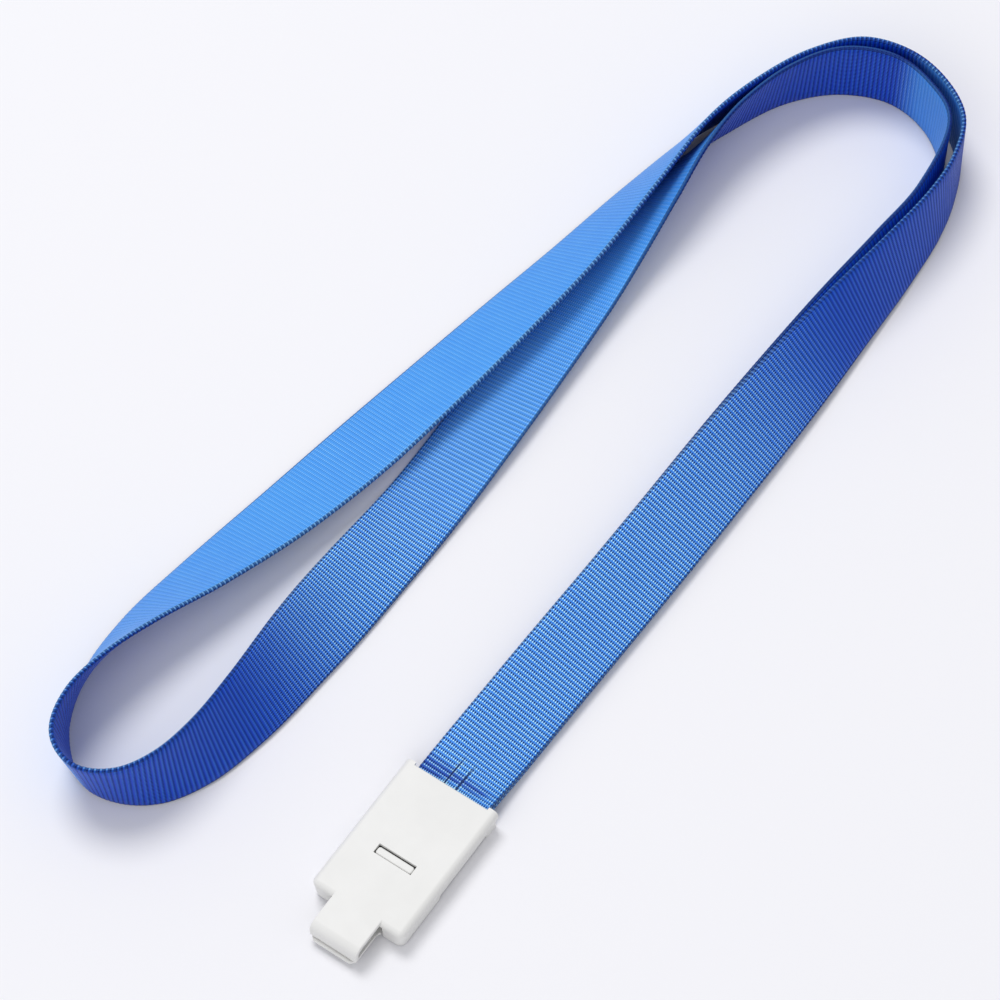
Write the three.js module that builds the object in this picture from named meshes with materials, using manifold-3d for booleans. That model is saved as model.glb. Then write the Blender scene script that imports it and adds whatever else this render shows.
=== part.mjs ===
// Lanyard badge holder: one woven strap laid as a half-twisted loop, its two ends held one on the other in a
// moulded clip. Millimetres, +Z up, +Y from the clip's hook to the strap. The origin is under the clip's middle.
import * as THREE from "three";
import { mergeVertices } from "three/addons/utils/BufferGeometryUtils.js";
import Module from "manifold-3d";

const wasm = await Module();
wasm.setup();

// Clearances
const gap = 0.3; // between pieces that touch or lie side by side
const runningGap = 0.07; // round a pin that turns
const sideGap = 0.35; // beside the strap in the clip, and beside the jaw's legs
const past = 1; // how far a cut runs on past the face it opens
const rodSides = 28;

// Strap
const strapWidth = 16;
const strapThickness = 0.9;
const strapEase = 0.3; // bevel along its edges
const plyPitch = strapThickness + gap; // middle to middle of the two plies
const pliesApart = 1.6; // how much further the plies stand off each other as they turn upright
const strapSteps = 220; // sections along the strap
const tableGap = 0.05; // under the strap where it lies on the table

// Jaw over the strap's ends
const jawFrom = 5.2;
const jawThickness = 0.6;
const jawHeadroom = 0.35;
const legWidth = 0.5;
const legOffset = strapWidth / 2 + sideGap;
const grooveWidth = 0.52; // of the gripping grooves across its underside
const jawClear = 0.7; // between the jaw and the corner blocks

// Cover
const bodyFront = -14.7;
const bodyBack = 15.8;
const wall = 1;
const bodyWidth = 2 * (legOffset + legWidth + sideGap + wall);
const roof = 0.8;
const skirtLift = 0.3; // the cover's skirt above the table
const draft = 0.35; // how far the walls lean in at the foot
const cornerRadius = 1.4; // seen from above
const edgeRadius = 1.2; // round the top face
const earLength = 3.3; // the two ears at the strap end
const mouthSide = 0.15; // clearance beside the strap in the mouth
const mouthSetback = 0.5; // the mouth's edge stands in from the ears
const mouthBevel = 0.2;
const lipDepth = 1; // the mouth's lip along the strap
const reliefDepth = 0.3; // nail relief along the foot of each side
const reliefFrom = -2.6;
const reliefTop = 2.2;

// Base
const plateThickness = 1;
const plateEdge = 0.3; // radius round its top
const rimHeight = 1;
const rimWidth = 0.7;
const blockHeight = 2.4; // corner blocks under the ears
const toothPitch = 1.3;
const toothHeight = 0.2;
const toothFoot = 0.86; // length of a tooth where it leaves the plate
const strapLift = 0.25; // the lower ply above the plate, on the teeth
const postLength = 1.2; // the post behind the keeper's root

// Hook, keeper and latch
const hookWidth = 10.4;
const hookReach = 7.4; // from the body's front to the nose
const hookThickness = 1;
const hookBend = 2; // outer radius where the hook turns down
const hookEase = 0.25; // round its edges
const slitWidth = 0.45; // opening in the front wall on each side of the hook
const keeperLift = 1.1; // the keeper's underside above the table, which leaves it room to flex
const keeperThickness = 0.7;
const keeperLip = 0.5; // past the hook's nose
const keeperWidth = 9.8;
const keeperFlare = 1.3; // length over which it widens at the root
const keeperCorner = 0.9; // cut off its front corners
const keeperRib = 0.8; // width of the two ribs under its root
const windowWidth = 8.3;
const windowLength = 2.1;
const windowY = -2.5;
const latchSink = 0.3; // the latch's head below the top face
const latchSlack = 0.32; // room for the head to swing towards the strap
const latchFit = 0.18; // round its other three sides
const latchCorner = 0.5;
const footMargin = 0.6; // the latch's foot past its head
const footThickness = 0.8;

// Heights and places that follow
const lowerPly = plateThickness + strapLift + strapThickness / 2;
const upperPly = lowerPly + plyPitch;
const strapTop = upperPly + strapThickness / 2;
const jawUnder = strapTop + gap;
const roofUnder = jawUnder + jawThickness + jawHeadroom;
const bodyHeight = roofUnder + roof;
const keeperTop = keeperLift + keeperThickness;
const openingTop = bodyHeight - hookThickness;
const mouthY = bodyBack - mouthSetback;
const mouthHalf = strapWidth / 2 + mouthSide;
const innerFront = bodyFront + wall;
const plateFront = innerFront + gap;
const plateHalf = bodyWidth / 2 - wall - gap;
const blockFront = bodyBack - earLength;
const jawTo = blockFront - jawClear;
const keeperRoot = plateFront - gap;

// Hinge across the strap end
const pinRadius = 0.3;
const knuckleRadius = 0.58;
const hingeSetback = 0.8; // of the pins from the strap end
const hingeY = bodyBack - hingeSetback;
const hingeZ = roofUnder - knuckleRadius - runningGap;
const lugWidth = 0.7;
const lugIn = legOffset; // from the clip's middle to a lug's inner face
const lugSwing = 2; // room in the cover in front of a pin for its lug to turn
const pinEndGap = 0.1;
const pinSet = 0.25; // skin left outside a pin's blind bore

function toManifold(geometry) {
  const bare = new THREE.BufferGeometry().setAttribute("position", geometry.getAttribute("position"));
  if (geometry.index) bare.setIndex(geometry.index);
  const merged = mergeVertices(bare, 1e-4);
  return new wasm.Manifold(new wasm.Mesh({
    numProp: 3,
    vertProperties: new Float32Array(merged.attributes.position.array),
    triVerts: new Uint32Array(merged.index.array),
  }));
}

function toGeometry(solid) {
  const mesh = solid.getMesh();
  const geometry = new THREE.BufferGeometry();
  geometry.setAttribute("position", new THREE.BufferAttribute(new Float32Array(mesh.vertProperties), 3));
  geometry.setIndex(new THREE.BufferAttribute(new Uint32Array(mesh.triVerts), 1));
  geometry.computeVertexNormals();
  return geometry;
}

// A box between two corners.
function block(x0, x1, y0, y1, z0, z1) {
  const geometry = new THREE.BoxGeometry(x1 - x0, y1 - y0, z1 - z0);
  geometry.translate((x0 + x1) / 2, (y0 + y1) / 2, (z0 + z1) / 2);
  return toManifold(geometry);
}

function ordered(a, b) {
  return [Math.min(a, b), Math.max(a, b)];
}

// A cylinder along X.
function rod(x0, x1, y, z, radius) {
  const geometry = new THREE.CylinderGeometry(radius, radius, x1 - x0, rodSides);
  geometry.rotateZ(Math.PI / 2);
  geometry.translate((x0 + x1) / 2, y, z);
  return toManifold(geometry);
}

// A closed solid from rings of equal count, first ring lowest, each counter-clockwise from above.
function stack(rings) {
  const count = rings[0].length;
  const corners = rings.flat();
  const faces = [];
  for (let level = 0; level < rings.length - 1; level++) {
    for (let i = 0; i < count; i++) {
      const a = level * count + i;
      const b = level * count + (i + 1) % count;
      faces.push(a, b, b + count, a, b + count, a + count);
    }
  }
  const last = (rings.length - 1) * count;
  for (let i = 1; i < count - 1; i++) {
    faces.push(0, i + 1, i);
    faces.push(last, last + i, last + i + 1);
  }
  const geometry = new THREE.BufferGeometry();
  geometry.setAttribute("position", new THREE.Float32BufferAttribute(corners.flat(), 3));
  geometry.setIndex(faces);
  return toManifold(geometry);
}

// A rectangle with round corners at height z, as a ring of points.
function roundedRing(x0, x1, y0, y1, radius, z) {
  const corners = [[x1, y1, 0], [x0, y1, 1], [x0, y0, 2], [x1, y0, 3]];
  const steps = 9;
  const ring = [];
  for (const [x, y, quarter] of corners) {
    const cx = x - radius * Math.sign(x - (x0 + x1) / 2);
    const cy = y - radius * Math.sign(y - (y0 + y1) / 2);
    for (let i = 0; i <= steps; i++) {
      const angle = (quarter + i / steps) * Math.PI / 2;
      ring.push([cx + radius * Math.cos(angle), cy + radius * Math.sin(angle), z]);
    }
  }
  return ring;
}

// A rounded block whose top edge is a quarter round, and whose sides lean in towards the foot.
function roundTopped(x0, x1, y0, y1, corner, z0, z1, edge, lean = 0) {
  const rings = [roundedRing(x0 + lean, x1 - lean, y0 + lean, y1 - lean, corner, z0)];
  const steps = 8;
  for (let i = 0; i <= steps; i++) {
    const angle = (i / steps) * Math.PI / 2;
    const inset = edge * (1 - Math.cos(angle));
    const z = z1 - edge + edge * Math.sin(angle);
    const radius = Math.max(corner - inset, 0.3);
    rings.push(roundedRing(x0 + inset, x1 - inset, y0 + inset, y1 - inset, radius, z));
  }
  return stack(rings);
}

// A side outline in Y and Z, carried across from x0 to x1; ease rounds the two end edges.
function acrossX(shape, x0, x1, ease = 0) {
  const geometry = new THREE.ExtrudeGeometry(shape, {
    depth: x1 - x0 - 2 * ease,
    bevelEnabled: ease > 0,
    bevelThickness: ease,
    bevelSize: ease,
    bevelOffset: -ease,
    bevelSegments: 3,
    curveSegments: 12,
  });
  const matrix = new THREE.Matrix4().makeBasis(
    new THREE.Vector3(0, 1, 0), new THREE.Vector3(0, 0, 1), new THREE.Vector3(1, 0, 0));
  geometry.applyMatrix4(matrix);
  geometry.translate(x0 + ease, 0, 0);
  return toManifold(geometry);
}

// An outline from above, carried from z0 up to z1.
function upright(shape, z0, z1) {
  const geometry = new THREE.ExtrudeGeometry(shape, { depth: z1 - z0, bevelEnabled: false, curveSegments: 8 });
  geometry.translate(0, 0, z0);
  return toManifold(geometry);
}

function addUp(solids) {
  return solids.reduce((sum, solid) => sum.add(solid));
}

// The hook's side outline: level with the roof, then a round turn down to a blunt nose over the keeper.
function hookOutline() {
  const root = bodyFront + 2 * edgeRadius;
  const noseY = bodyFront - hookReach;
  const innerY = noseY + hookThickness;
  const inner = hookBend - hookThickness;
  const noseZ = keeperTop + gap;
  const shape = new THREE.Shape();
  shape.moveTo(root, bodyHeight);
  shape.lineTo(noseY + hookBend, bodyHeight);
  shape.absarc(noseY + hookBend, bodyHeight - hookBend, hookBend, Math.PI / 2, Math.PI, false);
  shape.lineTo(noseY, noseZ);
  shape.lineTo(innerY, noseZ);
  shape.lineTo(innerY, bodyHeight - hookBend);
  shape.absarc(noseY + hookBend, bodyHeight - hookBend, inner, Math.PI, Math.PI / 2, true);
  shape.lineTo(root, bodyHeight - hookThickness);
  shape.closePath();
  return shape;
}

function triangleAcross(corners, x0, x1) {
  const shape = new THREE.Shape(corners.map(([y, z]) => new THREE.Vector2(y, z)));
  return acrossX(shape, x0, x1);
}

function makeCover() {
  const half = bodyWidth / 2;
  const outer = roundTopped(-half, half, bodyFront, bodyBack + 2 * edgeRadius, cornerRadius,
    skirtLift, bodyHeight, edgeRadius, draft);
  const cavity = roundTopped(-half + wall, half - wall, innerFront, mouthY - lipDepth,
    cornerRadius / 2, -past, roofUnder, edgeRadius / 2);
  const lugRoom = [-1, 1].map((side) => {
    const inner = side * (strapWidth / 2 + runningGap);
    const outside = side * (lugIn + lugWidth + gap);
    return block(...ordered(inner, outside), hingeY - lugSwing, bodyBack + past, -past,
      hingeZ + knuckleRadius + gap);
  });
  const opening = hookWidth / 2 + slitWidth;
  const cuts = [
    cavity,
    ...lugRoom,
    block(-half - past, half + past, bodyBack, bodyBack + 3 * edgeRadius, -past, bodyHeight + past),
    block(-half - past, half + past, blockFront - gap, bodyBack + past, -past, hingeZ - pinRadius - wall / 2),
    block(-mouthHalf, mouthHalf, mouthY, bodyBack + past, -past, bodyHeight + past),
    block(-mouthHalf, mouthHalf, blockFront, bodyBack + past, -past, strapTop + gap),
    triangleAcross([[mouthY - mouthBevel, bodyHeight], [mouthY + past, bodyHeight - past - mouthBevel],
      [mouthY + past, bodyHeight + past]], -mouthHalf, mouthHalf),
    block(-windowWidth / 2, windowWidth / 2, windowY - windowLength / 2, windowY + windowLength / 2,
      roofUnder - past, bodyHeight + past),
    block(-opening, opening, bodyFront - past, innerFront + wall / 2, -past, openingTop),
  ];
  for (const side of [-1, 1]) {
    const face = side * half;
    const relief = ordered(face + side, face - side * (draft + reliefDepth));
    cuts.push(block(...relief, reliefFrom, blockFront, -past, reliefTop));
    cuts.push(rod(...ordered(side * lugIn, side * (half - pinSet)), hingeY, hingeZ, pinRadius + runningGap));
  }
  const hook = acrossX(hookOutline(), -hookWidth / 2, hookWidth / 2, hookEase);
  const shell = outer.subtract(addUp(cuts));
  return toGeometry(shell.add(hook));
}

// The strap's seat: a plate, two rims beside it, rows of teeth across it, and a corner block with a hinge lug on
// each side of the mouth.
function makeBase() {
  const half = bodyWidth / 2;
  const seatZ = plateThickness / 2; // inside the plate, where what stands on it starts
  const post = hookWidth / 2 + slitWidth - gap;
  const solids = [
    roundTopped(-plateHalf, plateHalf, plateFront, blockFront + past, 2 * plateEdge, 0, plateThickness, plateEdge),
    block(-lugIn - lugWidth, lugIn + lugWidth, blockFront, bodyBack - wall / 2, 0, plateThickness),
    block(-post, post, plateFront, plateFront + postLength, tableGap, keeperTop),
  ];
  for (const side of [-1, 1]) {
    const corner = ordered(side * lugIn, side * (half - draft));
    solids.push(roundTopped(...corner, blockFront, bodyBack, 2 * plateEdge, 0, blockHeight, plateEdge));
    const lug = ordered(side * lugIn, side * (lugIn + lugWidth));
    solids.push(rod(...lug, hingeY, hingeZ, knuckleRadius));
    solids.push(block(...lug, hingeY - knuckleRadius, hingeY + knuckleRadius, blockHeight - plateEdge - gap, hingeZ));
    const rim = ordered(side * plateHalf, side * (plateHalf - rimWidth));
    solids.push(block(...rim, plateFront + wall, jawFrom - gap, seatZ, plateThickness + rimHeight));
  }
  for (let y = jawFrom + toothPitch / 2; y < jawTo - toothPitch / 2; y += toothPitch) {
    const tooth = [[y - toothFoot / 2, seatZ], [y + toothFoot / 2, seatZ], [y, plateThickness + toothHeight]];
    solids.push(triangleAcross(tooth, -strapWidth / 2, strapWidth / 2));
  }
  const bores = [-1, 1].map((side) => rod(...ordered(side * (lugIn - past), side * (lugIn + lugWidth + past)),
    hingeY, hingeZ, pinRadius + runningGap));
  return toGeometry(addUp(solids).subtract(addUp(bores)));
}

function makePin(side) {
  const ends = ordered(side * lugIn, side * (bodyWidth / 2 - pinSet - pinEndGap));
  return toGeometry(rod(...ends, hingeY, hingeZ, pinRadius));
}

// The keeper's outline from above: a root that fills the front opening, curved in to straight sides, and its front
// corners cut off.
function makeKeeper() {
  const half = keeperWidth / 2;
  const rootHalf = hookWidth / 2 + slitWidth - gap;
  const neck = bodyFront - keeperFlare;
  const lipY = bodyFront - hookReach - keeperLip;
  const shape = new THREE.Shape();
  shape.moveTo(-rootHalf, keeperRoot);
  shape.lineTo(-rootHalf, bodyFront);
  shape.quadraticCurveTo(-half, bodyFront, -half, neck);
  shape.lineTo(-half, lipY + keeperCorner);
  shape.lineTo(-half + keeperCorner, lipY);
  shape.lineTo(half - keeperCorner, lipY);
  shape.lineTo(half, lipY + keeperCorner);
  shape.lineTo(half, neck);
  shape.quadraticCurveTo(half, bodyFront, rootHalf, bodyFront);
  shape.lineTo(rootHalf, keeperRoot);
  shape.closePath();
  const ribs = [-1, 1].map((side) => block(side * half / 2 - keeperRib / 2, side * half / 2 + keeperRib / 2,
    neck, keeperRoot, keeperLift / 2, keeperLift + keeperThickness / 2));
  return toGeometry(addUp([upright(shape, keeperLift, keeperTop), ...ribs]));
}

function makeLatch() {
  const half = windowWidth / 2 - latchFit;
  const y0 = windowY - windowLength / 2 + latchFit;
  const y1 = windowY + windowLength / 2 - latchSlack;
  const footZ = plateThickness + gap;
  const head = roundTopped(-half, half, y0, y1, latchCorner, footZ, bodyHeight - latchSink, plateEdge);
  const foot = block(-half + footMargin, half - footMargin, y0 - footMargin, y1 + footMargin,
    footZ, footZ + footThickness);
  return toGeometry(head.add(foot));
}

// The jaw: a bridge over the two plies, grooved underneath to grip, on two legs beside the strap.
function makeJaw() {
  const outer = legOffset + legWidth;
  const solids = [
    roundTopped(-outer, outer, jawFrom, jawTo, legWidth, jawUnder, jawUnder + jawThickness, plateEdge),
  ];
  for (const side of [-1, 1]) {
    const leg = ordered(side * legOffset, side * outer);
    solids.push(block(...leg, jawFrom + past, jawTo - past, plateThickness + gap, jawUnder + jawThickness / 2));
  }
  const cuts = [];
  for (let y = jawFrom + toothPitch; y < jawTo - toothPitch / 2; y += toothPitch) {
    cuts.push(block(-strapWidth / 2, strapWidth / 2, y - grooveWidth / 2, y + grooveWidth / 2,
      jawUnder - past, jawUnder + jawThickness / 2));
  }
  return toGeometry(addUp(solids).subtract(addUp(cuts)));
}

// Each station is x, y and lean: the angle in degrees at which the strap's left edge, looking along the strap
// away from its upper end in the clip, stands above its right edge. The strap's low edge is on the table.

// The two plies share the straight run from the clip, the upper on the lower.
const sharedRun = [
  [0.5, 28.8, 8],
  [1.3, 48, 12],
  [2.2, 67, 16],
  [3, 86.5, 21],
  [3.8, 105.5, 29],
  [4.9, 124.5, 42],
  [6, 142.5, 57],
  [7.1, 159, 70],
  [7.3, 173, 80],
];
// The upper ply turns upright round the far end and comes back along the outside, rolling nearly flat and
// upright again.
const outerEnd = [
  [5.9, 182.5, 86],
  [2, 192, 89],
  [-5.8, 198, 87],
  [-15.2, 200.3, 86],
  [-25, 197.8, 86],
  [-32.8, 189.6, 82],
  [-38.8, 178.2, 75],
  [-43, 165, 67],
];
const outerRun = [
  [-45.2, 147, 53],
  [-47.3, 126.3, 38],
  [-50.3, 106.4, 28],
  [-53.5, 86.3, 20.5],
  [-56.8, 66.4, 16],
  [-60.4, 45.6, 22],
  [-64.4, 26.3, 35],
  [-67.6, 11.2, 50],
];
// The near bend beside the clip, where the strap stands on its edge.
const nearBend = [
  [-68.6, -1.6, 66],
  [-66.7, -13.2, 86],
  [-62.3, -20.1, 100],
  [-56, -22.4, 102],
  [-49.6, -20.2, 95],
  [-44.5, -14.6, 82],
  [-41.3, -5.7, 69],
];
const innerRun = [
  [-40, 7.2, 55],
  [-40.2, 24.8, 36],
  [-40.6, 44, 12],
  [-40.4, 64, -2],
  [-40.6, 83.2, -7],
  [-41.3, 102.4, -10],
  [-42, 120, -15],
  [-42.4, 134.4, -26],
  [-41.8, 147, -43],
  [-40.8, 159, -61],
  [-38.8, 170.5, -74],
];
// The far end again, inside the outer ply, with the other edge up.
const innerEnd = [
  [-34.2, 183.8, -82],
  [-27, 193, -89],
  [-17.2, 197.1, -90],
  [-8, 195.4, -90],
  [-0.4, 189.8, -92],
];

const clipStations = [
  [0, jawFrom, 0],
  [0, mouthY + past, 0],
];

// The middle's height where the low edge lies on the table: half the width times the sine of the lean, plus half
// the thickness times its cosine.
function heightAt(lean) {
  const angle = THREE.MathUtils.degToRad(Math.abs(lean));
  return strapWidth / 2 * Math.sin(angle) + strapThickness / 2 * Math.abs(Math.cos(angle)) + tableGap;
}

// The upper ply's middle stands off the lower ply's along the strap's face.
function upperStation([x, y, lean]) {
  const angle = THREE.MathUtils.degToRad(lean);
  return [x, y, heightAt(lean) + plyPitch * Math.cos(angle), lean];
}

function lowerStation([x, y, lean]) {
  const angle = THREE.MathUtils.degToRad(lean);
  const apart = plyPitch + pliesApart * Math.sin(angle) ** 4;
  return [x - apart * Math.sin(angle), y, heightAt(lean), -lean];
}

function strapStations() {
  const free = [...outerEnd, ...outerRun, ...nearBend, ...innerRun, ...innerEnd];
  return [
    ...clipStations.map(([x, y, lean]) => [x, y, upperPly, lean]),
    ...sharedRun.map(upperStation),
    ...free.map(([x, y, lean]) => [x, y, heightAt(lean), lean]),
    ...sharedRun.map(lowerStation).reverse(),
    ...clipStations.map(([x, y, lean]) => [x, y, lowerPly, lean]).reverse(),
  ];
}

// A flat band with eased edges, carried through the stations.
function makeStrap() {
  const stations = strapStations();
  const middles = stations.map(([x, y, z]) => new THREE.Vector3(x, y, z));
  const path = new THREE.CatmullRomCurve3(middles, false, "centripetal");
  path.arcLengthDivisions = 4000;
  const leans = new THREE.SplineCurve(stations.map(([, , , lean], i) => new THREE.Vector2(i, lean)));
  const w = strapWidth / 2;
  const t = strapThickness / 2;
  const section = [
    [-w, -t + strapEase], [-w + strapEase, -t], [w - strapEase, -t], [w, -t + strapEase],
    [w, t - strapEase], [w - strapEase, t], [-w + strapEase, t], [-w, t - strapEase],
  ];
  const rings = [];
  const up = new THREE.Vector3(0, 0, 1);
  for (let i = 0; i <= strapSteps; i++) {
    const s = path.getUtoTmapping(i / strapSteps);
    const middle = path.getPoint(s);
    const along = path.getTangent(s);
    const left = new THREE.Vector3().crossVectors(up, along).normalize();
    const lean = THREE.MathUtils.degToRad(leans.getPoint(s).y);
    const across = left.clone().multiplyScalar(Math.cos(lean)).addScaledVector(up, Math.sin(lean));
    across.addScaledVector(along, -across.dot(along)).normalize();
    const face = new THREE.Vector3().crossVectors(along, across);
    rings.push(section.map(([a, b]) => {
      return middle.clone().addScaledVector(across, a).addScaledVector(face, b).toArray();
    }));
  }
  return toGeometry(stack(rings));
}

const warmWhite = 0xe3e2dc;
const innerWhite = 0xd8d7d0;
const strapBlue = 0x1d55c4;
const steelGrey = 0xb9bcc0;

function addPiece(group, name, geometry, color, roughness = 0.5, metalness = 0) {
  const material = new THREE.MeshStandardMaterial({ color, roughness, metalness });
  const mesh = new THREE.Mesh(geometry, material);
  mesh.name = name;
  group.add(mesh);
}

const badgeHolder = new THREE.Group();
addPiece(badgeHolder, "strap", makeStrap(), strapBlue, 0.6);
addPiece(badgeHolder, "base_shell", makeBase(), warmWhite);
addPiece(badgeHolder, "cover_shell", makeCover(), warmWhite);
addPiece(badgeHolder, "hinge_pin_left", makePin(-1), steelGrey, 0.3, 1);
addPiece(badgeHolder, "hinge_pin_right", makePin(1), steelGrey, 0.3, 1);
addPiece(badgeHolder, "keeper_leaf", makeKeeper(), warmWhite);
addPiece(badgeHolder, "latch_finger", makeLatch(), warmWhite);
addPiece(badgeHolder, "clamp_jaw", makeJaw(), innerWhite);

export default badgeHolder;
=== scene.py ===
# A lanyard badge holder: a ribbed woven strap laid in a half-twisted loop, its ends held in a moulded clip.
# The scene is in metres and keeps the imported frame: +Y runs from the clip's hook to the strap, and +Z is up.
# Lengths in the dictionaries are in millimetres, except the studio's, which are in metres.
import math

import bpy
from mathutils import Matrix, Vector
import numpy as np


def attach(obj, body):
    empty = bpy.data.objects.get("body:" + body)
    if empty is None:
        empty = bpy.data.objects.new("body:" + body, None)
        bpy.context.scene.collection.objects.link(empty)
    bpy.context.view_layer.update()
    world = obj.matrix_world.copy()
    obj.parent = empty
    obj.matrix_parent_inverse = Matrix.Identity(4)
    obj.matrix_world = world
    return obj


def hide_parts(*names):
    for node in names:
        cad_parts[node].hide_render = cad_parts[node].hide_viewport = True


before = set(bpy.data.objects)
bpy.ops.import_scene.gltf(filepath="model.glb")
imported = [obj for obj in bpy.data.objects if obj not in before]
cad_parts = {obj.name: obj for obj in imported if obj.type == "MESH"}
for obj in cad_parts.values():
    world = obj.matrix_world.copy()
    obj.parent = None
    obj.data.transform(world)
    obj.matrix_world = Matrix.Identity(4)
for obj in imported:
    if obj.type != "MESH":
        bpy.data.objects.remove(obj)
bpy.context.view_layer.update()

mm = 0.001


class Value:
    # A number socket that Python arithmetic can be written on; each operation adds one Math node.
    def __init__(self, finish, socket):
        self.finish = finish
        self.socket = socket

    def math(self, operation, *inputs):
        node = self.finish.node("ShaderNodeMath", {"operation": operation}, dict(enumerate(inputs)))
        return Value(self.finish, node.outputs[0])

    def __add__(self, other):
        return self.math("ADD", self, other)

    def __radd__(self, other):
        return self.math("ADD", other, self)

    def __sub__(self, other):
        return self.math("SUBTRACT", self, other)

    def __rsub__(self, other):
        return self.math("SUBTRACT", other, self)

    def __mul__(self, other):
        return self.math("MULTIPLY", self, other)

    def __rmul__(self, other):
        return self.math("MULTIPLY", other, self)

    def __truediv__(self, other):
        return self.math("DIVIDE", self, other)

    def __rtruediv__(self, other):
        return self.math("DIVIDE", other, self)

    def __abs__(self):
        return self.math("ABSOLUTE", self)

    def cosine(self):
        return self.math("COSINE", self)

    def modulo(self, other):
        return self.math("FLOORED_MODULO", self, other)

    def atLeast(self, other):
        return self.math("MAXIMUM", self, other)

    def atMost(self, other):
        return self.math("MINIMUM", self, other)

    # 0 below low, 1 above high, and a smooth rise between
    def rise(self, low, high):
        node = self.finish.node("ShaderNodeMapRange", {"interpolation_type": "SMOOTHSTEP"},
                                {"Value": self, "From Min": low, "From Max": high})
        return Value(self.finish, node.outputs[0])

    # 0, a smooth rise to 1 between start and full, and a smooth fall back to 0 between still and end
    def band(self, start, full, still, end):
        return self.rise(start, full) * (1 - self.rise(still, end))


class Finish:
    # One material: a Principled shader, and the nodes that feed it.
    def __init__(self, name, **constants):
        self.material = bpy.data.materials.new(name)
        self.material.use_nodes = True
        self.tree = self.material.node_tree
        self.shader = self.tree.nodes["Principled BSDF"]
        for socket, value in constants.items():
            self.shader.inputs[socket.replace("_", " ")].default_value = value

    def node(self, kind, settings=None, sockets=None):
        made = self.tree.nodes.new(kind)
        for key, value in (settings or {}).items():
            setattr(made, key, value)
        for key, value in (sockets or {}).items():
            self.feed(made.inputs[key], value)
        return made

    def feed(self, target, value):
        if isinstance(value, Value):
            value = value.socket
        if isinstance(value, bpy.types.NodeSocket):
            self.tree.links.new(value, target)
        else:
            target.default_value = value

    def set(self, **inputs):
        for socket, value in inputs.items():
            self.feed(self.shader.inputs[socket.replace("_", " ")], value)

    def value(self, socket):
        return Value(self, socket)

    # the strap's own UV map, in millimetres: along it, and across it
    def flatPlace(self):
        uv = self.node("ShaderNodeUVMap", {"uv_map": "flatPlace"})
        parts = self.node("ShaderNodeSeparateXYZ", None, {"Vector": uv.outputs["UV"]})
        return self.value(parts.outputs["X"]), self.value(parts.outputs["Y"])

    def objectPlace(self):
        return self.node("ShaderNodeTexCoord").outputs["Object"]

    def noise(self, place, scale, detail=2.0, roughness=0.5, stretch=(1.0, 1.0, 1.0)):
        turned = self.node("ShaderNodeMapping", None, {"Vector": place, "Scale": stretch})
        made = self.node("ShaderNodeTexNoise", None, {"Vector": turned.outputs["Vector"], "Scale": scale,
                                                      "Detail": detail, "Roughness": roughness})
        return self.value(made.outputs["Fac"])

    # counted from nought, the Mix node takes its two colours at 6 and 7 and gives the mixed one at 2
    def mix(self, amount, low, high, blend="MIX"):
        made = self.node("ShaderNodeMix", {"data_type": "RGBA", "blend_type": blend},
                         {0: amount, 6: low, 7: high})
        return made.outputs[2]

    def attribute(self, name):
        return self.value(self.node("ShaderNodeAttribute", {"attribute_name": name}).outputs["Fac"])

    def bump(self, height, strength, distance):
        made = self.node("ShaderNodeBump", None,
                         {"Height": height, "Strength": strength, "Distance": distance})
        return made.outputs["Normal"]


def ringFaces(rings, points):
    # quads between neighbouring rings of points, numbered ring by ring and closed round each ring
    ring, point = np.meshgrid(np.arange(rings - 1), np.arange(points), indexing="ij")
    start, after = ring * points, (point + 1) % points
    corners = [start + point, start + after, start + points + after, start + points + point]
    return np.stack(corners, axis=-1).reshape(-1, 4)


def makeMesh(name, points, faces, material, smooth=True):
    mesh = bpy.data.meshes.new(name)
    mesh.from_pydata(points.tolist(), [], faces)
    mesh.validate()
    mesh.polygons.foreach_set("use_smooth", np.full(len(mesh.polygons), smooth))
    mesh.materials.append(material)
    mesh.update()
    made = bpy.data.objects.new(name, mesh)
    bpy.context.scene.collection.objects.link(made)
    return made


def directionTo(azimuth, elevation):
    # Unit vector to what stands at these degrees, the azimuth counted from -Y towards +X: its level part is
    # the cosine of the elevation, shared by the azimuth's sine and cosine.
    turn, tilt = math.radians(azimuth), math.radians(elevation)
    return np.array([math.sin(turn) * math.cos(tilt), -math.cos(turn) * math.cos(tilt), math.sin(tilt)])


def placeLooking(name, data, place, back):
    # puts a camera or a light at its place, looking against the vector back
    made = bpy.data.objects.new(name, data)
    bpy.context.scene.collection.objects.link(made)
    made.location = place
    made.rotation_mode = "QUATERNION"
    made.rotation_quaternion = Vector(-back).to_track_quat("-Z", "Y")
    return made


camera = {
    "aim": (-29.2, 73.6, 0.0),  # a point on the table
    "azimuth": 34.5,
    "elevation": 59.0,
    "distance": 771.2,
    "lens": 144.0,
    "sensorWidth": 36.0,
    "nearest": 10.0,
    "farthest": 20000.0,
}


def makeCamera():
    back = directionTo(camera["azimuth"], camera["elevation"])
    data = bpy.data.cameras.new("camera")
    data.lens = camera["lens"]
    data.sensor_width = camera["sensorWidth"]
    data.clip_start, data.clip_end = camera["nearest"] * mm, camera["farthest"] * mm
    place = (np.array(camera["aim"]) + back * camera["distance"]) * mm
    bpy.context.scene.camera = placeLooking("camera", data, place, back)


studio = {
    "target": (-0.03, 0.08, 0.0),  # what both lights face
    "floor": (0.865, 0.86, 0.885, 1.0),
    "floorRoughness": 0.75,
    "floorReach": 6.0,
    "sky": (0.95, 0.96, 1.0, 1.0),
    "skyStrength": 0.56,
    "key": {"azimuth": 242.0, "elevation": 65.0, "distance": 2.4, "size": 1.15, "power": 27.5},
    "fill": {"azimuth": 10.0, "elevation": 40.0, "distance": 2.4, "size": 1.8, "power": 11.0},
}


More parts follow.
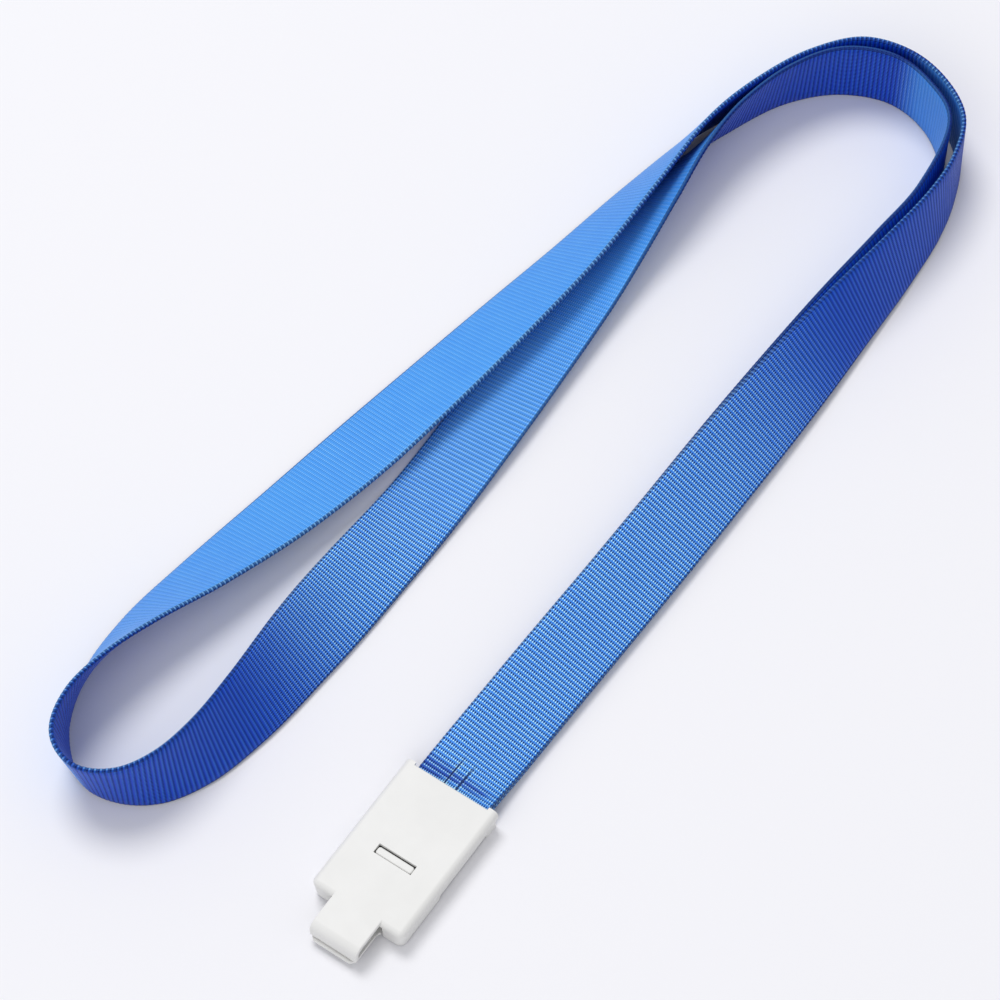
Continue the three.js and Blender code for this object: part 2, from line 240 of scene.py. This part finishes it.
def areaLight(name, azimuth, elevation, distance, size, power):
    back = directionTo(azimuth, elevation)
    data = bpy.data.lights.new(name, "AREA")
    data.shape, data.size, data.energy = "DISK", size, power
    placeLooking(name, data, np.array(studio["target"]) + back * distance, back)


def makeStudio():
    areaLight("keyLight", **studio["key"])
    areaLight("fillLight", **studio["fill"])
    world = bpy.data.worlds.new("softSky")
    bpy.context.scene.world = world
    world.use_nodes = True
    world.node_tree.nodes["Background"].inputs["Color"].default_value = studio["sky"]
    world.node_tree.nodes["Background"].inputs["Strength"].default_value = studio["skyStrength"]
    finish = Finish("paleFloor", Base_Color=studio["floor"], Roughness=studio["floorRoughness"])
    reach = studio["floorReach"]
    points = np.array([[-reach, -reach, 0], [reach, -reach, 0], [reach, reach, 0], [-reach, reach, 0]])
    floor = makeMesh("floor", points, [[0, 1, 2, 3]], finish.material, smooth=False)


makeCamera()
makeStudio()
bpy.context.scene.view_settings.view_transform = "Standard"
print("camera and studio ready")


strap = {
    "width": 16.0,
    "thickness": 0.9,
    "gap": 0.3,  # between the two plies where they lie flat
    "pliesApart": 1.6,  # what is added to that gap where they stand on edge
    "tableGap": 0.05,
    "endInClip": 5.2,
    "mouth": 15.3,
    "pastMouth": 1.0,  # how far the plies run on straight outside the clip
    "lowerPly": 1.70,  # height of the lower ply's middle in the clip
    "ribPitch": 0.96,
    "ribHeight": 0.03,
    "ringsPerRib": 4,
    "walePitch": 0.46,  # from one lengthwise yarn to the next
    "selvedge": 0.55,  # how far the two rounded edges reach in, together
    "nick": 0.03,
    "flatSteps": 9,
    "edgeSteps": 4,
}

# The x, y and lean of each station, in millimetres and degrees. Lean is how far the strap's
# left edge, looking along it away from its upper end in the clip, stands above its right edge.
sharedRun = [
    (0.5, 28.8, 8), (1.3, 48, 12), (2.2, 67, 16), (3, 86.5, 21), (3.8, 105.5, 29),
    (4.9, 124.5, 42), (6, 142.5, 57), (7.1, 159, 70), (7.3, 173, 80),
]
outerEnd = [
    (5.9, 182.5, 86), (2, 192, 89), (-5.8, 198, 87), (-15.2, 200.3, 86),
    (-25, 197.8, 86), (-32.8, 189.6, 82), (-38.8, 178.2, 75), (-43, 165, 67),
]
outerRun = [
    (-45.2, 147, 53), (-47.3, 126.3, 38), (-50.3, 106.4, 28), (-53.5, 86.3, 20.5),
    (-56.8, 66.4, 16), (-60.4, 45.6, 22), (-64.4, 26.3, 35), (-67.6, 11.2, 50),
]
nearBend = [
    (-68.6, -1.6, 66), (-66.7, -13.2, 86), (-62.3, -20.1, 100), (-56, -22.4, 102),
    (-49.6, -20.2, 95), (-44.5, -14.6, 82), (-41.3, -5.7, 69),
]
innerRun = [
    (-40, 7.2, 55), (-40.2, 24.8, 36), (-40.6, 44, 12), (-40.4, 64, -2), (-40.6, 83.2, -7),
    (-41.3, 102.4, -10), (-42, 120, -15), (-42.4, 134.4, -26), (-41.8, 147, -43), (-40.8, 159, -61),
    (-38.8, 170.5, -74),
]
innerEnd = [
    (-34.2, 183.8, -82), (-27, 193, -89), (-17.2, 197.1, -90), (-8, 195.4, -90), (-0.4, 189.8, -92),
]


def restingHeight(lean):
    # half the width times the sine of the lean, plus half the thickness times its cosine
    angle = math.radians(abs(lean))
    lift = strap["width"] / 2 * math.sin(angle) + strap["thickness"] / 2 * abs(math.cos(angle))
    return lift + strap["tableGap"]


def strapStations():
    pitch = strap["thickness"] + strap["gap"]
    upperPly = strap["lowerPly"] + pitch
    inClip = [(0, strap["endInClip"]), (0, strap["mouth"] + strap["pastMouth"])]
    upper = []
    lower = []
    for x, y, lean in sharedRun:
        angle = math.radians(lean)
        apart = pitch + strap["pliesApart"] * math.sin(angle) ** 4
        upper.append((x, y, restingHeight(lean) + pitch * math.cos(angle), lean))
        lower.append((x - apart * math.sin(angle), y, restingHeight(lean), -lean))
    onePly = outerEnd + outerRun + nearBend + innerRun + innerEnd
    free = [(x, y, restingHeight(lean), lean) for x, y, lean in onePly]
    start = [(x, y, upperPly, 0) for x, y in inClip]
    end = [(x, y, strap["lowerPly"], 0) for x, y in reversed(inClip)]
    return np.array(start + upper + free + lower[::-1] + end, float)


def throughPoints(points, count):
    # centripetal Catmull-Rom spline: a cubic between neighbours, whose slopes weigh each span by the square
    # root of its length
    padded = np.vstack([2 * points[0] - points[1], points, 2 * points[-1] - points[-2]])
    where = np.linspace(0, len(points) - 1, count)
    index = np.minimum(where.astype(int), len(points) - 2)
    w = (where - index)[:, None]
    p0, p1, p2, p3 = (padded[index + k] for k in range(4))
    d0, d1, d2 = (np.sqrt(np.linalg.norm(b - a, axis=1))[:, None] for a, b in ((p0, p1), (p1, p2), (p2, p3)))
    slope1 = ((p1 - p0) / d0 - (p2 - p0) / (d0 + d1) + (p2 - p1) / d1) * d1
    slope2 = ((p2 - p1) / d1 - (p3 - p1) / (d1 + d2) + (p3 - p2) / d2) * d1
    bend = -3 * p1 + 3 * p2 - 2 * slope1 - slope2
    return p1 + slope1 * w + bend * w ** 2 + (2 * p1 - 2 * p2 + slope1 + slope2) * w ** 3


def throughValues(values, count):
    # uniform Catmull-Rom spline of the leans
    padded = np.concatenate([values[:1], values, values[-1:]])
    where = np.linspace(0, len(values) - 1, count)
    index = np.minimum(where.astype(int), len(values) - 2)
    w = where - index
    p0, p1, p2, p3 = (padded[index + k] for k in range(4))
    slope1, slope2 = (p2 - p0) / 2, (p3 - p1) / 2
    return p1 + slope1 * w + (-3 * p1 + 3 * p2 - 2 * slope1 - slope2) * w ** 2 \
        + (2 * p1 - 2 * p2 + slope1 + slope2) * w ** 3


def strapPath(step):
    # Places every step millimetres along the route, with unit vectors across the strap and out of its face.
    # across = cosine of the lean times level left, plus its sine times up, made square to the route.
    stations = strapStations()
    count = 8001  # close enough together to be read as straight pieces
    middle = throughPoints(stations[:, :3], count)
    lean = np.radians(throughValues(stations[:, 3], count))
    travelled = np.concatenate([[0], np.cumsum(np.linalg.norm(np.diff(middle, axis=0), axis=1))])
    length = travelled[-1]
    distance = np.linspace(0, length, int(length / step) + 1)
    middle = np.stack([np.interp(distance, travelled, middle[:, k]) for k in range(3)], axis=1)
    lean = np.interp(distance, travelled, lean)
    along = np.gradient(middle, axis=0)
    along /= np.linalg.norm(along, axis=1)[:, None]
    upward = np.array([0.0, 0.0, 1.0])
    left = np.cross(upward, along)
    left /= np.linalg.norm(left, axis=1)[:, None]
    across = np.cos(lean)[:, None] * left + np.sin(lean)[:, None] * upward
    across -= along * (across * along).sum(1)[:, None]
    across /= np.linalg.norm(across, axis=1)[:, None]
    return distance, middle, across, np.cross(along, across)


def strapSection():
    # The band's section, a flat oval: lower face, one edge, upper face, other edge. Each edge is half an
    # ellipse, across = its reach times the cosine of the turn and face = half the thickness times its sine.
    # onEdge is 0 on the faces and follows that cosine round the edges.
    thick, edgeOut = strap["thickness"] / 2, strap["selvedge"] / 2
    inner = strap["width"] / 2 - edgeOut
    flat = np.linspace(-inner, inner, strap["flatSteps"])
    turn = np.linspace(-math.pi / 2, math.pi / 2, strap["edgeSteps"] + 2)[1:-1]
    edge, onFace = inner + edgeOut * np.cos(turn), np.full(len(flat), thick)
    across = np.concatenate([flat, edge, flat[::-1], -edge])
    face = np.concatenate([-onFace, thick * np.sin(turn), onFace, -thick * np.sin(turn)])
    onEdge = np.concatenate([0 * flat, np.cos(turn), 0 * flat, np.cos(turn)])
    return across, face, onEdge


def makeStrap():
    # The section carried along the route: place = middle + across times a + face times f. A cosine along the
    # length swells the faces and the edges once a rib.
    distance, middle, across, face = strapPath(strap["ribPitch"] / strap["ringsPerRib"])
    sectionAcross, sectionFace, onEdge = strapSection()
    rib = np.cos(2 * math.pi * distance / strap["ribPitch"])
    swell = 1 + strap["ribHeight"] / (strap["thickness"] / 2) * rib[:, None] * (1 - onEdge)[None, :]
    nick = 1 + strap["nick"] / (strap["width"] / 2) * rib[:, None] * onEdge[None, :]
    a = sectionAcross[None, :] * nick
    f = sectionFace[None, :] * swell
    points = middle[:, None, :] + a[..., None] * across[:, None, :] + f[..., None] * face[:, None, :]
    rows, columns = a.shape
    faces = ringFaces(rows, columns).tolist()
    faces.append(list(range(columns))[::-1])
    faces.append([(rows - 1) * columns + k for k in range(columns)])
    made = makeMesh("wovenStrap", points.reshape(-1, 3) * mm, faces, wovenBlue().material)
    # flat place: millimetres along the strap and across it
    uv = made.data.uv_layers.new(name="flatPlace")
    vertexOf = np.zeros(len(made.data.loops), int)
    made.data.loops.foreach_get("vertex_index", vertexOf)
    place = np.stack([distance[vertexOf // columns], sectionAcross[vertexOf % columns]], axis=1)
    uv.data.foreach_set("uv", place.reshape(-1))
    # which way each point looks: the face's direction, turned over on the underside
    outward = face[:, None, :] * np.sign(sectionFace)[None, :, None]
    # how far a face is turned from the key light on the -X side: 0 where it looks towards -X, 1 where it looks
    # up or towards +X; it sets painted light on the weave
    rolled = np.clip((outward[..., 0] - weave["turnsFromLightAt"]) / weave["turnsFromLightOver"], 0, 1)
    addValue(made, "turnedFromLight", (rolled * rolled * (3 - 2 * rolled)).reshape(-1))
    # how far the strap stands on edge: one less the square of its face's rise
    addValue(made, "upright", np.repeat(np.clip(1 - face[:, 2] ** 2, 0, 1), columns))
    return made


def addValue(made, name, values):
    made.data.attributes.new(name, "FLOAT", "POINT").data.foreach_set("value", values.astype(np.float32))


weave = {
    "yarn": (0.035, 0.225, 0.84, 1.0),
    # painted light on faces turned towards the key light, and the pale tone that the cloud noise mixes in
    "paintedLightAndPaleTone": (0.068, 0.33, 0.86, 1.0),
    "paintedUprightShade": (0.05, 0.18, 0.66, 1.0),  # painted shade: what is left of the colour where the strap stands on edge
    # painted shade: the gaps between the yarns, the edge cords' sides and the pulled yarns' lines
    "gap": (0.0, 0.0, 0.08, 1.0),
    # painted shade of the puckered ribs near the clip
    "puckerShade": (0.004, 0.035, 0.42, 1.0),
    # painted highlight on the yarn crowns
    "paintedCrownHighlight": (0.60, 0.98, 1.0, 1.0),
    "tint": (0.45, 0.85, 1.0, 1.0),
    "roughness": 0.46,
    "gloss": 0.4,
    "turnsFromLightAt": -0.35,  # how far a face looks to +X, from -1 to 1, where it begins to turn from the light
    "turnsFromLightOver": 0.45,  # and how much further it turns until it is fully turned from the light
    "crownRow": (0.14, 0.30, 0.46, 0.56),  # in parts of a rib: start, full, still full, end
    "gapRow": (0.46, 0.58, 0.82, 0.98),
    "bead": (7.50, 7.70),  # across, where the beaded edge begins
    "plainEdge": (-7.7, -7.55),
    "squeezed": (12.0, 16.0),  # along, where the jaw's pull on the ribs ends
    "puckerShadeUntil": (12.5, 16.0),
    "pulled": ((2.1, 18.8), (-0.45, 18.2)),  # across, and along to where each pulled yarn ends
    "pulledYarn": (0.10, 0.24),  # half its width
    "besidePulled": (0.20, 0.28, 0.40, 0.52),  # from a pulled yarn's middle: start, full, still full, end
    "pulledFade": 4.0,
    "bumpStrength": 0.35,
    "bumpDepth": 0.12,
}


def wovenBlue():
    # Lengthwise yarns lie over thick cross picks. Between two picks the yarns dive, so a row of yarn crowns
    # and then a row of gaps crosses the strap once a rib;
    # the crowns carry a painted highlight and the gaps painted shade.
    finish = Finish("wovenBlue", Specular_IOR_Level=weave["gloss"], Specular_Tint=weave["tint"])
    along, across = finish.flatPlace()
    place = finish.objectPlace()
    awayFromLight = finish.attribute("turnedFromLight")
    # painted shade where the strap stands on edge, weaker on faces turned towards the light
    upright = finish.attribute("upright").rise(0.0, 0.75) * (awayFromLight * 0.8 + 0.2)
    stray = finish.noise(place, 900.0, 2.0) - 0.5
    patch = finish.noise(place, 300.0, 2.0) - 0.5
    # near the clip the ribs are squeezed by the jaw's pull and wander a little
    nearClip = 1 - along.rise(*weave["squeezed"])
    wave = finish.noise(place, 260.0, 2.0, 0.5, (0.3, 1.0, 1.0)) - 0.5
    ribPlace = (along / strap["ribPitch"] + stray * 0.12 + wave * nearClip * 0.9).modulo(1.0)
    yarn = (across * (2 * math.pi / strap["walePitch"]) + stray * 0.6).cosine() * 0.5 + 0.5
    # across one rib: its round top, a row of crowns on the yarns with a painted highlight, a row of gaps
    # between them with painted shade
    crownRow = ribPlace.band(*weave["crownRow"])
    gapRow = ribPlace.band(*weave["gapRow"])
    furrow = crownRow.atLeast(gapRow)
    # painted light: on faces turned towards the light, the crowns' highlight and the gaps' shade are faint
    contrast = awayFromLight * 0.80 + 0.20
    crown = crownRow * yarn.rise(0.42, 0.70) + gapRow * yarn.rise(0.6, 0.9) * 0.2
    # painted shade in the gaps between the yarns
    gap = (gapRow * (1 - yarn.rise(0.45, 0.72))).atLeast(crownRow * (1 - yarn.rise(0.15, 0.45)) * 0.5)
    # the edge cords, darkened with painted shade of the strap's sides: dark beads on one edge, a plain dark
    # line on the other
    bead = across.rise(*weave["bead"])
    cord = bead * (furrow * 0.5 + 0.25) + (1 - across.rise(*weave["plainEdge"])) * 0.75
    # beside the clip: a few picks darkened where the ribs bunch up, painted shade of the puckers, and two
    # yarns pulled straight with a painted highlight on the yarns beside them
    puckerShade = (wave + 0.5 + across * 0.024).rise(0.44, 0.60) * (1 - along.rise(*weave["puckerShadeUntil"]))
    pulled = 0.0
    beside = 0.0
    for position, end in weave["pulled"]:
        apart = abs(across - position)
        reach = 1 - along.rise(end - weave["pulledFade"], end)
        pulled = (1 - apart.rise(*weave["pulledYarn"])) * reach + pulled
        beside = apart.band(*weave["besidePulled"]) * reach + beside
    cloud = finish.noise(place, 38.0, 3.0)
    # painted light: faces turned towards the light get the paler colour, which the cloud and patch noise also
    # mix in as a random paler tone
    base = finish.mix((1 - awayFromLight) * 0.8 + cloud * 0.25 + patch * 0.3, weave["yarn"], weave["paintedLightAndPaleTone"])
    # painted highlight on the crowns, on the yarns beside the pulled ones and on the beads' rims
    crownLight = (crown * contrast).atLeast(beside * furrow * 0.8)
    light = crownLight.atLeast(bead * (1 - furrow) * 0.3) * (1 + patch * 0.5)
    lit = finish.mix(light.atMost(1.0), base, weave["paintedCrownHighlight"])
    # painted shade of the puckered ribs near the clip
    squeezed = finish.mix(puckerShade * (0.25 + (1 - crownRow) * 0.65), lit, weave["puckerShade"])
    # painted shade in the gaps, on the edge cords and in the pulled yarns' lines
    dark = (gap * contrast).atLeast(cord).atLeast(pulled)
    toned = finish.mix(dark.atMost(1.0), squeezed, weave["gap"])
    # the painted shade multiplies the colour where the strap stands on edge
    shade = finish.mix(upright, (1.0, 1.0, 1.0, 1.0), weave["paintedUprightShade"])
    colour = finish.mix(1.0, toned, shade, "MULTIPLY")
    height = (1 - furrow) * 0.6 + yarn * (0.1 + furrow * 0.35) - pulled * 0.5
    finish.set(Base_Color=colour, Roughness=weave["roughness"] + gap * 0.3 + stray * 0.1,
               Normal=finish.bump(height, weave["bumpStrength"], weave["bumpDepth"] * mm))
    return finish


strapPiece = makeStrap()
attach(strapPiece, "base")
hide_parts("strap")
print("strap ready,", len(strapPiece.data.polygons), "faces")


shell = {
    "colour": (0.785, 0.78, 0.757, 1.0),
    "shade": (0.735, 0.73, 0.705, 1.0),
    # painted shade: the darker copy of the moulding for the clamp jaw inside the clip
    "paintedInnerShade": (0.6, 0.595, 0.56, 1.0),
    "roughness": 0.48,
    "bumpStrength": 0.12,
    "bumpDepth": 0.02,
}

pin = {
    "colour": (0.6, 0.61, 0.63, 1.0),
    "roughness": 0.28,
    "scratches": 0.2,  # what the scratches add to the roughness
}


def mouldedWhite(name, colour, shade):
    # Satin moulding: a faint cloud in the colour, a fine spark-eroded grain in the surface.
    finish = Finish(name)
    place = finish.objectPlace()
    cloud = finish.noise(place, 90.0, 2.0)
    grain = finish.noise(place, 4200.0, 1.0)
    wear = finish.noise(place, 260.0, 4.0, 0.65)
    finish.set(Base_Color=finish.mix(cloud.rise(0.35, 0.75) * 0.4, colour, shade),
               Roughness=shell["roughness"] + (wear - 0.5) * 0.18,
               Normal=finish.bump(grain * 0.6 + wear * 0.4, shell["bumpStrength"], shell["bumpDepth"] * mm))
    return finish


def pinSteel():
    # plain steel, drawn across the clip
    finish = Finish("pinSteel", Base_Color=pin["colour"], Metallic=1.0)
    scratch = finish.noise(finish.objectPlace(), 3000.0, 2.0, 0.5, (0.1, 1.0, 1.0))
    finish.set(Roughness=pin["roughness"] + scratch * pin["scratches"])
    return finish


def paintNodes():
    outside = mouldedWhite("mouldedWhite", shell["colour"], shell["shade"])
    # painted shade: the clamp jaw inside the clip gets a darker copy of the white moulding
    paintedShadeCopy = mouldedWhite("mouldedWhiteInShade", shell["shade"], shell["paintedInnerShade"])
    steel = pinSteel()
    finishes = {
        "cover_shell": outside, "base_shell": outside, "keeper_leaf": outside,
        "latch_finger": outside, "clamp_jaw": paintedShadeCopy, "hinge_pin_left": steel, "hinge_pin_right": steel,
    }
    for name, finish in finishes.items():
        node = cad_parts[name]
        node.data.materials.clear()
        node.data.materials.append(finish.material)


paintNodes()
print("clip painted")
